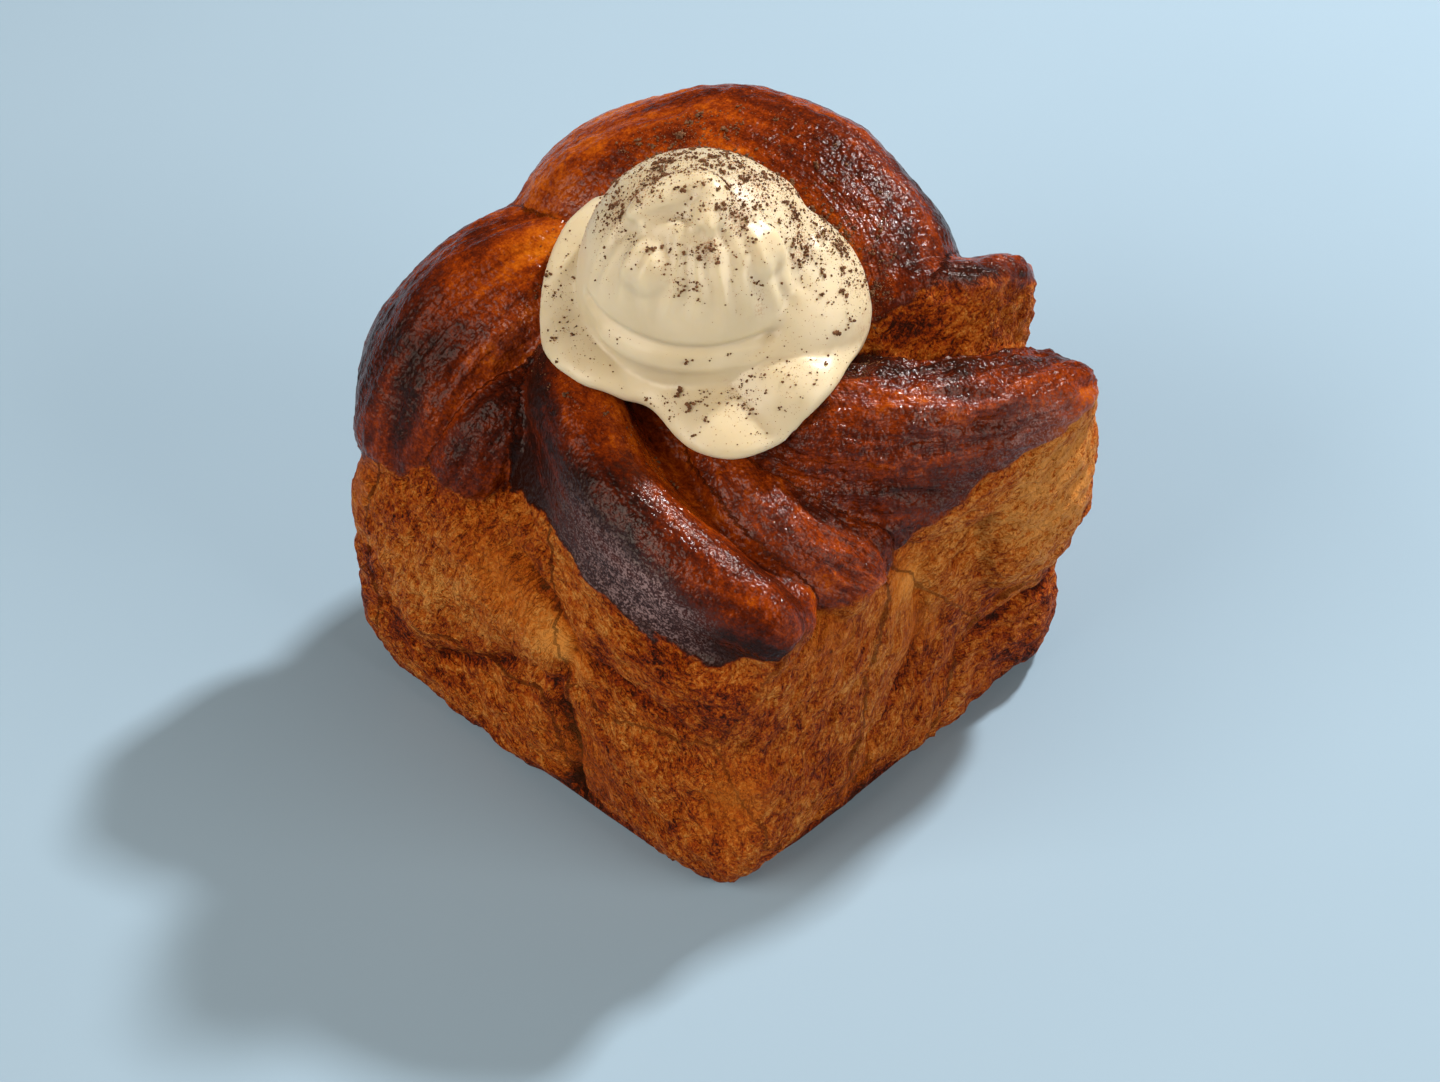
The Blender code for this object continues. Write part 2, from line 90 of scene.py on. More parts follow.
STRANDS = {
    "left_fold": Strand(((-19, 6, 64, 12, 11), (-26, -3, 69, 15, 13.5), (-32, -15, 68, 16.5, 14.5),
                         (-36.5, -26, 58, 17, 14), (-37.5, -30, 47, 17, 12.5)), 0.04, 90, 7),
    "left_tuck": Strand(((-14, -17, 63, 8, 7), (-19, -28, 61, 9, 8), (-22, -36, 53, 8, 7)), 0, 0, 5),
    "arch": Strand(((-33, -6, 66, 12, 12), (-28, 6.5, 75.5, 16.5, 16.5), (-18, 19, 79.5, 18, 17.5),
                    (-2, 23.5, 80, 18, 17.5), (12.5, 21.5, 74, 17, 17), (24, 15, 64, 13, 13)), 0, 0, 6),
    "front_fold": Strand(((-15, -16, 65, 11, 10), (-7, -24, 63.5, 13, 11), (7, -31, 60, 13, 11),
                          (23, -33, 56, 12.5, 10.5), (38, -30.5, 53, 9.5, 7.5)), 0.22, 115, 4),
    "middle_fold": Strand(((8, -9, 60, 8, 8), (18, -14, 61, 9.5, 9), (29, -17, 58, 10.5, 9.5),
                           (39, -12, 53, 9, 7)), 0.13, 75, 5),
    "right_fold": Strand(((10, -8, 61, 14, 11), (24, -3, 64, 16, 13), (34, 11, 63, 15, 12),
                          (40, 25, 62, 12, 10), (42, 33, 61, 9, 9)), 0.14, 105, 11),
    "far_fold": Strand(((12, 8, 66, 10, 10), (20, 17, 72, 11.5, 12), (25, 26, 72.5, 11.5, 12.5),
                        (26.5, 32, 72, 9.5, 11.5)), 0.17, 95, 6),
    "rear_left": Strand(((-14, 20, 66, 12, 12), (-28, 24, 64, 15, 13), (-36, 14, 57, 14, 12),
                         (-38, 0, 52, 12, 10)), 0.05, 90, 7),
    "rear": Strand(((-14, 32, 57, 12, 12), (4, 34, 60, 13, 12), (20, 33, 57, 12, 12),
                    (31, 30, 50, 10, 10)), 0.06, 90, 7),
}
# How dark each strand is painted on its inner side, on top and on its outer side: partly its own
# browning and partly painted light and shade, a side in shade darker, most of all the front fold's
# outer face; then how blistered its skin is, and the depth of the wrinkles along it
SKIN = {
    "left_fold": (0.55, 0.62, 0.70, 0.4, 0.45),
    "left_tuck": (0.60, 0.60, 0.70, 0.4, 0.5),
    "arch": (0.58, 0.49, 0.54, 0.5, 0.2),
    # painted shade: the front fold's outer face is painted much darker, on top of its own darker browning
    "front_fold": (0.46, 0.84, 0.98, 0.3, 0.12),
    "middle_fold": (0.60, 0.49, 0.58, 0.8, 0.7),
    "right_fold": (0.74, 0.68, 0.62, 1.0, 1.05),
    "far_fold": (0.60, 0.62, 0.45, 0.7, 0.5),
    "rear_left": (0.50, 0.45, 0.50, 0.4, 0.4),
    "rear": (0.50, 0.45, 0.50, 0.4, 0.4),
}
SKIN_TURNS = (-50, -5, 50)  # degrees from the strand's top at which the three shades hold

# Rounded masses of dough under the plait: centre, half sizes, squareness in plan and upright
MASSES = {
    "body": ((-0.5, -0.5, 25), (45, 44.5, 28), 6, 8),
    "core": ((0, 0, 50), (36, 34, 23), 2, 2),
    "shoulder": ((34, 30, 44), (16.5, 16, 18), 3, 3),
    "left_corner": ((-31.5, -30.5, 25), (16.8, 16.5, 28), 2.6, 3.2),
    "rear_corner": ((-30, 30, 24), (17, 16, 26), 2.6, 3),
    "right_corner": ((30, 30, 18), (15.5, 14.5, 20), 2.8, 3.6),
    "front_corner": ((23, -30, 16), (22.5, 15.5, 18), 2.8, 3.4),
    "front_cheek": ((2, -33, 34), (26, 12.5, 22), 2.4, 2.6),
    "right_cheek": ((33, -14, 24), (12.5, 25, 26), 2.5, 3),
}

# Creases where the lobes of dough meet on the sides, each as (along the side, height)
CREASES = {
    "lobe": ((-39, 27), (-36, 21), (-31, 16), (-24, 13.5), (-17, 16), (-8, 22), (0, 25), (5, 26)),
    "leaf": ((-14, 54), (-1, 47), (8, 41), (10, 38), (8, 32), (5, 26), (7, 20), (9, 14), (8, 2)),
    "band": ((10, 38), (17, 37), (28, 36), (34, 34), (38, 29), (41, 20)),
    "split": ((3, 44), (3, 36), (2, 28), (-3, 20), (-8, 14), (-11, 6)),
    "ledge": ((12, 17), (24, 20), (34, 20), (41, 21)),
}
# The side that each crease is on, and whether it runs mirrored there
SIDES = {
    "front": (("lobe", False), ("leaf", False), ("band", False)),
    "right": (("split", False), ("ledge", False)),
    "rear": (("lobe", True), ("leaf", True), ("band", True)),
    "left": (("split", True), ("ledge", True)),
}
CREASE_DEPTH = 1.6
CREASE_HALF_WIDTH = 1.4
LOBE_DEPTH = 1.5
LOBE_REACH = 7.0

# The ragged line where the browned top ends: degrees round from +X, and height
CRUST_LINE = ((-180, 50), (-150, 48), (-135, 48), (-124, 51), (-121, 55), (-117, 53), (-109, 54),
              (-100, 57), (-90, 57), (-77, 55), (-66, 53), (-56, 51), (-48, 49), (-38, 53),
              (-25, 53), (-7, 52), (7, 56), (16, 60), (25, 63), (33, 65), (45, 62), (58, 55),
              (75, 51), (100, 53), (130, 50), (155, 52), (180, 50))

# The pulled fibres of each lobe of crumb: the side it is on, its middle as (along the side,
# height), and the way the fibres run, in degrees up from level. Along runs anticlockwise.
LOBES = (
    ("front", (-15, 36), 70), ("front", (-15, 4), -35), ("front", (25, 46), -26),
    ("front", (28, 16), -60), ("right", (-25, 28), 60), ("right", (0, 22), 75),
    ("right", (24, 40), 20), ("right", (24, 8), -15), ("rear", (15, 36), 70),
    ("rear", (15, 4), -35), ("rear", (-25, 46), -26), ("rear", (-28, 16), -60),
    ("left", (25, 28), 60), ("left", (0, 22), 75), ("left", (-24, 40), 20), ("left", (-24, 8), -15),
)

# Relief on the loaf: heights, and lengths as one number or as three. The three are along the
# strand or the fibres, across them, and from one strand or lobe to the next.
SWELL_HEIGHT, SWELL_LENGTH = 1.0, 16.0
LUMP_HEIGHT, LUMP_LENGTH = 0.7, 6.0
WRINKLE_HEIGHT, WRINKLE_LENGTHS = 0.9, (10, 2.4, 12)
BLISTER_HEIGHT, BLISTER_LENGTH = 0.7, 2.4
STRING_HEIGHT, STRING_LENGTHS = 0.45, (5.5, 2.2, 4)
CRAG_DEPTH, CRAG_LENGTHS = 1.2, (5, 3.2, 4)
PIMPLE_HEIGHT, PIMPLE_LENGTH = 0.35, 1.9
CRUST_RISE = 0.3

# Soft patches, each with its middle, its reach and how much it adds there: to how dark the dough is
# painted (its browning, and in some patches painted light and shade), to the painted greyish sheen on
# the crust, to the wet gloss of the crust, and to how smooth the crumb is
PATCHES = {
    # how dark the dough is painted: its own browning and burnt spots, and in some patches painted light and
    # shade
    "bake": (
        ((-34, 8, 91), 12, 0.08), ((-36, -19, 81), 8, 0.25), ((-35, -34, 71), 9, 0.25),
        ((-29, -3, 87), 4, -0.12), ((-28, -13, 84), 5, -0.18), ((-28, -22, 81), 5, -0.18),
        ((-37, -41, 61), 10, 0.30), ((-23, -22, 79), 7, 0.15), ((25, -42, 60), 14, 0.18),
        ((1, -42, 64), 9, 0.12), ((23, -29, 70), 5, -0.15), ((43, -26, 61), 8, 0.32),
        ((25, -21, 62), 5, -0.25), ((-20, 20, 97), 14, -0.16), ((15, 27, 92), 16, 0.22),
        ((25, 14, 78), 8, 0.35), ((45, 12, 45), 14, -0.15), ((20, 35, 86), 10, 0.1),
        ((-38, -46, 26), 4, 0.35), ((-41, -45, 17), 4, 0.35),
        ((-31, -46, 15), 4, 0.3), ((16, -44, 41), 4, 0.3), ((6, -44, 37), 5, -0.45),
        ((44, -42, 29), 9, 0.12), ((43, -1, 45), 4, -0.4), ((46, -16, 10), 12, 0.15),
        # the patch at (50, 29, 50) is painted light, making the upper right side lighter
        ((46, 30, 8), 14, 0.3), ((50, 29, 50), 14, -0.42), ((34, 25, 79), 9, -0.1),
    ),
    # painted sheen: a greyish reflection of the sky, painted into the crust's colour, mostly on the front
    # fold's face
    "bloom": (
        ((26, -42, 59), 13, 1.0), ((10, -42, 62), 9, 0.3), ((38, -38, 56), 6, -0.4),
        ((48, 8, 59), 8, 0.3), ((51, 24, 64), 9, 0.6),
    ),
    "gloss": (
        ((15, 27, 92), 13, 0.3), ((14, 19, 88), 6, 0.4), ((38, 8, 76), 6, 0.5),
        ((-24, -6, 85), 6, 0.8), ((-20, -26, 76), 6, 0.7), ((20, -29, 70), 8, 0.7),
        ((38, -27, 63), 6, 0.3), ((33, -13, 67), 7, 0.4), ((47, 39, 66), 9, -0.5),
        ((46, 8, 59), 7, -0.6), ((25, -42, 60), 12, 0.35),
    ),
    "smooth": (
        ((6, -44, 37), 4.5, 1.0), ((43, -1, 45), 5, 0.9), ((44, -20, 47), 6, 0.4),
        ((-6, -45, 42), 9, 0.5), ((44, -42, 22), 7, 0.6), ((46, 2, 33), 5, 0.7),
        ((46, -12, 8), 4, 0.8), ((10, -45, 12), 8, 0.4), ((-42, -45, 44), 6, 0.5),
        ((0, 45, 35), 9, 0.6), ((-45, 0, 35), 9, 0.6),
    ),
}

# Strokes on the dollop: points (across, towards the corner, height) from the swirl's own place,
# how far the surface stands out along them, and half the stroke's width
STROKES = (
    (((-12, 8, 20), (-9.2, 9, 24), (-5.2, 8.8, 25.2), (-1.3, 10, 25.2), (0.4, 12.5, 24.4)), -1.0, 1.2),
    (((3.8, 7.8, 27.3), (3.3, 10.9, 25.7), (4.2, 12.4, 22.5)), -0.5, 1.2),
    (((-5.2, 11.6, 23), (-5.8, 14.2, 21.5)), -0.5, 1.1),
    (((-17.5, 9, 8.5), (-13.4, 14.7, 7.6), (-6.5, 19.2, 7), (0, 20.3, 6.9), (6.5, 19.2, 7),
      (13.4, 14.7, 7.6), (17.4, 9.3, 8.6), (18.8, 5, 12), (18.9, 0, 15.2), (16, -4, 18.5)), -1.0, 0.9),
    (((-14.5, 13.5, 4.5), (-7, 19.3, 3.6), (0, 20.8, 3.2), (8.5, 19, 3.6), (15.5, 13.5, 4.8)), 0.9, 1.7),
    (((15, -5, 19), (17.5, -2, 16.5), (18.5, 3, 13)), 1.0, 3.5),
    (((14, 22, -1), (18.5, 19.5, -1)), 0.8, 4),
)
FLUTES = 28  # soft ridges on the dome's front, counted as if they ran all the way round
FLUTE_DEPTH = 0.28
SAG_HEIGHT, SAG_LENGTH = 0.3, 9
RIPPLE_HEIGHT, RIPPLE_LENGTH = 0.06, 3

# Cocoa on the cream: how many of each size, and their half sizes
CLUMPS, CLUMP_SIZE = 480, (0.27, 0.74)
CRUMBS, CRUMB_SIZE = 1500, (0.12, 0.26)
DUST, DUST_SIZE = 13000, (0.04, 0.11)
COCOA_SEED = 11
COCOA_BATCH = 2000
COCOA_REACH = 1.12 * PUDDLE_RADIUS
COCOA_FALL = 60.0

# Where the cocoa fell thickest: middle, reach and thickness
DUSTED = (
    ((-8, -10, 104), 8, 0.5), ((-4, -6, 107), 8, 0.6), ((1, 2, 106), 7, 0.8), ((8, 7, 102), 7, 0.8),
    ((13.5, 3, 97), 5, 1.0), ((9, -6.5, 105), 4.5, 0.8), ((8.7, -12, 103), 3, 0.8),
    ((7.8, -17, 98.5), 2.8, 0.9), ((-5, -16, 102), 5.5, 0.4), ((16, -9, 93), 4, 0.7),
    ((14, 12, 92), 5, 0.9), ((18.5, 9, 87), 5, 1.0), ((22, 7, 84), 4.5, 0.7),
    ((22, -4, 81), 5, 0.6), ((18, -13, 80), 4.5, 0.6), ((10, -19.6, 79.5), 3.5, 0.4),
    ((-17, -17, 81), 5, 0.25), ((-8, -21, 80), 4, 0.25), ((-14, 8, 95), 9, 0.4),
    ((26, 14, 84), 5, 0.5), ((29, 6, 78), 4, 0.3),
)

# Screen colours, each at its height on a ramp
CRUST_SHADES = (
    (0.0, (200, 108, 18)), (0.22, (172, 80, 10)), (0.45, (128, 47, 5)),
    (0.65, (86, 27, 5)), (0.85, (56, 18, 8)), (1.0, (34, 13, 8)),
)
CRUMB_SHADES = (
    (0.0, (230, 152, 72)), (0.22, (210, 118, 40)), (0.45, (186, 87, 13)),
    (0.65, (152, 55, 4)), (0.85, (106, 33, 5)), (1.0, (56, 20, 6)),
)
# the painted sheen's colours: a greyish reflection painted onto the dark crust
PAINTED_SHEEN_SHADES = ((0.3, (44, 23, 22)), (0.5, (76, 48, 46)), (0.7, (156, 126, 124)))
CREAM_SHADES = ((0.3, (206, 190, 157)), (0.7, (214, 200, 170)))
DARK_COCOA = ((0.35, (76, 44, 20)), (0.65, (118, 76, 42)))
FINE_COCOA = ((0.35, (112, 66, 34)), (0.65, (174, 112, 68)))
FLOOR_SHADES = ((0.3, (146, 171, 192)), (0.7, (149, 174, 195)))
MEMBRANE_COLOUR = (192, 110, 20)
COCOA_STAIN = (170, 108, 68)

# Scales of the dough's textures, to the metre
MOTTLE = 160
BUBBLES = 750
LEATHER = 850
PORES = 1100
FINE_SKIN = 1200
SPARKS = 1500
GRAIN = 2600

# Scales of the textures that follow the strands or the fibres, to the millimetre: along them,
# across them, and from one strand or lobe to the next
BANDS = (0.035, 0.13, 1)
STREAKS = (0.12, 0.5, 1)
WRINKLES = (0.12, 0.9, 1)
STRINGS = (0.6, 0.92, 0.8)
CRACKS = (0.12, 0.4, 0.5)

# Lights: azimuth from -Y round to +X and elevation in degrees, distance and size in metres,
# power in watts, and colour
Light = namedtuple("Light", "azimuth elevation distance size power colour")
LIGHTS = {
    "key": Light(178, 47, 0.9, 0.08, 10.2, (1.0, 0.96, 0.9)),
    "fill": Light(-15, 30, 1.1, 0.8, 11, (1.0, 0.9, 0.78)),
    "side": Light(105, 22, 1.1, 0.8, 9, (1.0, 0.9, 0.78)),
}
LIT_HEIGHT = 0.06  # metres up the middle of the loaf, where the lights are aimed
SKY_COLOUR = (1.0, 0.9, 0.78, 1)
SKY_STRENGTH = 0.11
FLOOR_HALF = 2.5  # metres
FLOOR_DROP = 0.0002  # metres that the floor lies under the loaf


def curve_through(rows, steps):
    """Points on a smooth curve through the rows, with `steps` between two rows."""
    padded = np.vstack([2 * rows[0] - rows[1], rows, 2 * rows[-1] - rows[-2]])
    points = []
    for i in range(1, len(padded) - 2):
        a, b, c, d = padded[i - 1:i + 3]
        for t in np.arange(steps) / steps:
            bend = (2 * a - 5 * b + 4 * c - d) * t ** 2 + (3 * b - a - 3 * c + d) * t ** 3
            points.append(0.5 * (2 * b + (c - a) * t + bend))
    return np.array(points + [rows[-1]])


def link(name, mesh):
    """A new object of this mesh in the scene's own collection."""
    thing = bpy.data.objects.new(name, mesh)
    bpy.context.scene.collection.objects.link(thing)
    return thing


def strand_section(strand, along, around):
    """The outline of a strand's section: an oval with a crest on one side, and pleats."""
    outline = []
    for k in range(around):
        angle = 2 * pi * k / around
        crest = strand.crest * cos(3 * (angle - radians(strand.crest_angle)))
        pleat = 0.03 * sin(strand.pleats * (angle + 0.5 * sin(3.1 * along)) + 4 * along)
        radius = 1 + crest + pleat * (strand.pleats > 0)
        outline.append((radius * cos(angle), radius * sin(angle)))
    return outline


def strand_frames(strand):
    """The strand's path, with the ways along, across and outward at each of its points."""
    path = curve_through(np.array(strand.stations, float), STRAND_STEPS)
    centres = [Vector(row[:3]) for row in path]
    last = len(path) - 1
    frames = []
    for i, centre in enumerate(centres):
        along = (centres[min(i + 1, last)] - centres[max(i - 1, 0)]).normalized()
        outward = centre - HEART
        outward = (outward - along * outward.dot(along)).normalized()
        frames.append((centre, along, along.cross(outward), outward))
    return path, frames


def loft_strand(name, strand, around=48):
    """A closed solid through a strand's stations, its thickness pointing away from the heart."""
    path, frames = strand_frames(strand)
    shape = bmesh.new()
    rings = []
    last = len(path) - 1
    end_rings = ((0.55, 0.83), (0.9, 0.45))
    places = [(0, -push, shrink) for push, shrink in reversed(end_rings)]
    places += [(i, 0, 1) for i in range(last + 1)]
    places += [(last, push, shrink) for push, shrink in end_rings]
    for i, push, shrink in places:
        centre, along, across, outward = frames[i]
        half_width, half_thickness = path[i][3] * shrink, path[i][4] * shrink
        centre = centre + along * push * path[i][4]
        ring = []
        for u, v in strand_section(strand, i / last, around):
            point = centre + across * u * half_width + outward * v * half_thickness
            ring.append(shape.verts.new(point * MM))
        rings.append(ring)
    for near, far in zip(rings, rings[1:]):
        for k in range(around):
            following = (k + 1) % around
            shape.faces.new((near[k], near[following], far[following], far[k]))
    shape.faces.new(rings[0])
    shape.faces.new(rings[-1])
    bmesh.ops.recalc_face_normals(shape, faces=shape.faces)
    mesh = bpy.data.meshes.new(name)
    shape.to_mesh(mesh)
    shape.free()
    return link(name, mesh)


def rounded_mass(name, centre, half_sizes, plan=2.0, upright=2.0):
    """An ellipsoid, or a squarer one where the two powers are over 2."""
    shape = bmesh.new()
    round_and_up = {"u_segments": MASS_SEGMENTS, "v_segments": MASS_SEGMENTS // 2}
    bmesh.ops.create_uvsphere(shape, **round_and_up, radius=1)
    for vertex in shape.verts:
        x, y, z = (abs(value) for value in vertex.co)
        flat = (x ** plan + y ** plan) ** (upright / plan)
        reach = (flat + z ** upright) ** (-1 / upright)
        for axis in range(3):
            vertex.co[axis] = (centre[axis] + vertex.co[axis] * reach * half_sizes[axis]) * MM
    mesh = bpy.data.meshes.new(name)
    shape.to_mesh(mesh)
    shape.free()
    return link(name, mesh)


def remove(thing):
    """Takes an object and its mesh out of the file."""
    mesh = thing.data
    bpy.data.objects.remove(thing)
    bpy.data.meshes.remove(mesh)


def fuse(name, pieces, voxel, smooth_steps):
    """One closed skin round all the pieces, softened where they meet."""
    shape = bmesh.new()
    for piece in pieces:
        shape.from_mesh(piece.data)
        remove(piece)
    joined = bpy.data.meshes.new(name)
    shape.to_mesh(joined)
    shape.free()
    thing = link(name, joined)
    skin = thing.modifiers.new("skin", "REMESH")
    skin.mode = "VOXEL"
    skin.voxel_size = voxel * MM
    soften = thing.modifiers.new("soften", "SMOOTH")
    soften.factor = 0.5
    soften.iterations = smooth_steps
    graph = bpy.context.evaluated_depsgraph_get()
    thing.data = bpy.data.meshes.new_from_object(thing.evaluated_get(graph))
    thing.modifiers.clear()
    bpy.data.meshes.remove(joined)
    return thing


def points_and_normals(mesh):
    """The mesh's points in millimetres and its vertex normals."""
    points = np.empty(len(mesh.vertices) * 3)
    mesh.vertices.foreach_get("co", points)
    normals = np.empty(len(mesh.vertices) * 3)
    mesh.vertex_normals.foreach_get("vector", normals)
    return points.reshape(-1, 3) / MM, normals.reshape(-1, 3)


def set_points(mesh, points):
    """Moves the mesh's points to these places, in millimetres."""
    mesh.vertices.foreach_set("co", (points * MM).ravel())
    mesh.update()


def store(mesh, name, values):
    """Keeps a number or a vector for each point of the mesh, for its material."""
    vector = values.ndim == 2
    kept = mesh.attributes.new(name, "FLOAT_VECTOR" if vector else "FLOAT", "POINT")
    kept.data.foreach_set("vector" if vector else "value", values.astype(np.float32).ravel())


def smooth_step(values, low, high):
    """0 below low, 1 above high and a smooth rise between."""
    share = np.clip((values - low) / (high - low), 0, 1)
    return share * share * (3 - 2 * share)


def crease_paths():
    """Each crease as a curve in space on its side of the body."""
    walls = {"front": -HALF_DEPTH, "rear": HALF_DEPTH, "right": HALF_WIDTH, "left": -HALF_WIDTH}
    paths = []
    for side, creases in SIDES.items():
        for name, mirrored in creases:
            flat = curve_through(np.array(CREASES[name], float), 5)
            along = -flat[:, 0] if mirrored else flat[:, 0]
            wall = np.full(len(flat), walls[side])
            columns = (along, wall) if side in ("front", "rear") else (wall, along)
            paths.append(np.column_stack([*columns, flat[:, 1]]))
    return paths


def distance_to_path(points, path):
    """The distance from each point to the nearest stretch of the path."""
    nearest = np.full(len(points), np.inf)
    for start, end in zip(path, path[1:]):
        run = end - start
        share = np.clip((points - start) @ run / (run @ run), 0, 1)
        gap = np.linalg.norm(points - start - share[:, None] * run, axis=1)
        nearest = np.minimum(nearest, gap)
    return nearest


def lumps(points, wavelength, seed):
    """Smooth random heights between about -1 and 1, the same each run."""
    shift = Vector((seed * 17.3, seed * 5.1, seed * 9.7))
    wavelengths = np.broadcast_to(np.array(wavelength, float), 3)
    return np.array([noise.noise(Vector(point) + shift) for point in points / wavelengths])


def strand_places(points):
    """For each point, the strand whose skin it is on, how far round it, and its place there."""
    best = np.full(len(points), np.inf)
    owner = np.zeros(len(points), int)
    turns = np.zeros(len(points))
    flow = np.zeros((len(points), 3))
    for number, strand in enumerate(STRANDS.values()):
        path, frames = strand_frames(strand)
        centres = path[:, :3]
        spacing = np.linalg.norm(np.diff(centres, axis=0), axis=1)
        lengths = np.concatenate([[0], np.cumsum(spacing)])
        gaps = ((points[:, None, :] - centres[None]) ** 2).sum(axis=2)
        nearest = gaps.argmin(axis=1)
        ways = np.array([[tuple(way) for way in row[1:]] for row in frames])[nearest]
        offset = points - centres[nearest]
        along, across, outward = ((offset * ways[:, k]).sum(axis=1) for k in range(3))
        half_width, half_thickness = path[nearest, 3], path[nearest, 4]
        past_end = np.where((nearest == 0) | (nearest == len(path) - 1), along, 0)
        radial = (across / half_width) ** 2 + (outward / half_thickness) ** 2
        radial = (radial + (past_end / half_thickness) ** 2) ** 0.5
        turn = np.arctan2(across, outward)
        reach = (half_width + half_thickness) / 2
        nearer = radial < best
        best[nearer] = radial[nearer]
        owner[nearer] = number
        turns[nearer] = np.degrees(turn[nearer])
        place = np.column_stack([lengths[nearest] + along, turn * reach, np.full(len(points), 40 * number)])
        flow[nearer] = place[nearer]
    return owner, turns, flow


def crumb_flow(points):
    """For each point of the sides, its place along and across the pulled fibres of its lobe."""
    walls = {"front": (0, -1), "right": (1, 0), "rear": (0, 1), "left": (-1, 0)}
    outward = np.sign(points[:, :2]) * np.abs(points[:, :2] / (HALF_WIDTH, HALF_DEPTH)) ** 5
    outward /= np.linalg.norm(outward, axis=1)[:, None] + 1e-9
    level = np.column_stack([-outward[:, 1], outward[:, 0], np.zeros(len(points))])
    wander = lumps(points, 7, 31), lumps(points, 7, 32)
    best = np.full(len(points), np.inf)
    flow = np.zeros((len(points), 3))
    for number, (side, (along, height), slope) in enumerate(LOBES):
        wall = np.array(walls[side])
        middle = np.array([*(wall * (HALF_WIDTH, HALF_DEPTH)), height], float)
        middle[:2] += np.array([abs(wall[1]), abs(wall[0])]) * along
        offset = points - middle
        gap = (offset ** 2).sum(axis=1) * (1 + 0.35 * wander[number % 2])
        rise = np.zeros_like(level)
        rise[:, 2] = 1
        fibre = level * cos(radians(slope)) + rise * sin(radians(slope))
        across = rise * cos(radians(slope)) - level * sin(radians(slope))
        place = np.column_stack([(offset * fibre).sum(axis=1), (offset * across).sum(axis=1),
                                 (offset[:, :2] * outward).sum(axis=1) + 40 * number])
        nearer = gap < best
        best[nearer] = gap[nearer]
        flow[nearer] = place[nearer]
    return flow


def patch(points, kind):
    """What the soft patches of this kind add up to at each point."""
    total = np.zeros(len(points))
    for middle, reach, amount in PATCHES[kind]:
        gap = np.linalg.norm(points - np.array(middle), axis=1)
        total += amount * np.exp(-((gap / reach) ** 2))
    return total


def nearest_crease(points):
    """The distance from each point to the nearest crease."""
    nearest = np.full(len(points), np.inf)
    for path in crease_paths():
        nearest = np.minimum(nearest, distance_to_path(points, path))
    return nearest


def crust_share(points, fibres, torn):
    """1 on the crust and 0 on the crumb, with a ragged edge between, and none on a torn face."""
    turn = np.degrees(np.arctan2(points[:, 1], points[:, 0]))
    line = np.interp(turn, *np.array(CRUST_LINE, float).T)
    ragged = 2.2 * lumps(points, 7, 3) + 1.6 * lumps(fibres, (9, 2.2, 9), 4)
    crust = smooth_step(points[:, 2] - line + ragged, -0.8, 0.8)
    return np.clip(crust - torn * (points[:, 2] > 62), 0, 1)


def broad_relief(points, small, crease, on_side):
    """The creases and lobes of the sides, and slow swells all over."""
    height = -CREASE_DEPTH * np.exp(-((crease / CREASE_HALF_WIDTH) ** 2))
    height -= LOBE_DEPTH * np.exp(-((crease / LOBE_REACH) ** 2))
    height *= on_side
    height += SWELL_HEIGHT * lumps(points, SWELL_LENGTH, 1)
    return height + LUMP_HEIGHT * small * (0.3 + 0.7 * on_side)


def fine_relief(points, strands, fibres, blistered, wrinkled, crust, smooth):
    """Wrinkles and blisters on the crust, strings and crags on the crumb."""
    pimples = lumps(points, PIMPLE_LENGTH, 13)
    wrinkles = 1 - 2 * np.abs(lumps(strands, WRINKLE_LENGTHS, 5))
    blisters = np.clip(lumps(points, BLISTER_LENGTH, 6), 0, 1)
    on_crust = WRINKLE_HEIGHT * wrinkled * (wrinkles - 0.6) + CRUST_RISE
    on_crust += BLISTER_HEIGHT * blistered * blisters + (0.1 + 0.15 * blistered) * pimples
    strings = 1 - 2 * np.abs(lumps(fibres, STRING_LENGTHS, 7))
    crags = np.clip(lumps(fibres, CRAG_LENGTHS, 8) - 0.1, 0, 1)
    on_crumb = STRING_HEIGHT * (strings - 0.6) - CRAG_DEPTH * crags + PIMPLE_HEIGHT * pimples
    return crust * on_crust + (1 - crust) * (1 - smooth) * on_crumb


def bake_and_painted_shade(points, owner, turns, crust, crease, on_side):
    """How dark each point is painted, from 0 to 1.2: the strands' shades with their painted light and
    shade, the patches, slow random swings, dark lines along the creases and a darker band at the foot.
    """
    shades = [np.interp(turns, SKIN_TURNS, row[:3]) for row in SKIN.values()]
    bake = np.where(crust > 0.5, np.choose(owner, shades), 0.4) + patch(points, "bake")
    dark_line = np.exp(-((crease / 1.3) ** 2)) * on_side * smooth_step(lumps(points, 8, 9), -0.5, 0.3)
    base = 1 - smooth_step(points[:, 2], 0.5, 5)
    bake += 0.22 * lumps(points, 22, 10) + 0.7 * dark_line + 0.35 * base
    return np.clip(bake, 0, 1.2)


